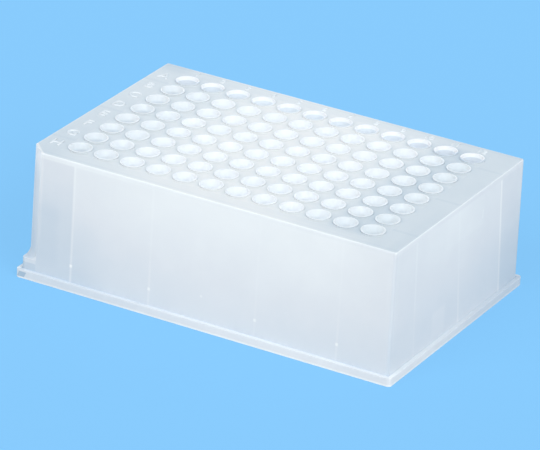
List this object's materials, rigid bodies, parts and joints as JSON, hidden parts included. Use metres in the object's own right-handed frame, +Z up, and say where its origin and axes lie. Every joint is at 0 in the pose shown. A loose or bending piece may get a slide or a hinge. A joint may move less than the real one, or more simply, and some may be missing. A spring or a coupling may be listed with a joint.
{
  "type": "deep-well plate",
  "caption": "Moulded microplate with a grid of deep round-bottomed wells under a flat deck, on a skirted base flange with one cut corner.",
  "frame": {"origin": "centre of the base flange's underside, on the surface the plate stands on", "axes": "+X along the long side from column 1 towards column 12, +Y across from row H towards row A, +Z up"},
  "size_m": [0.1278, 0.0854, 0.0422],
  "materials": {
    "natural_polypropylene": "satin, translucent natural polypropylene"
  },
  "bodies": {
    "root": {"well_plate": "natural_polypropylene"}
  },
  "joints": []
}
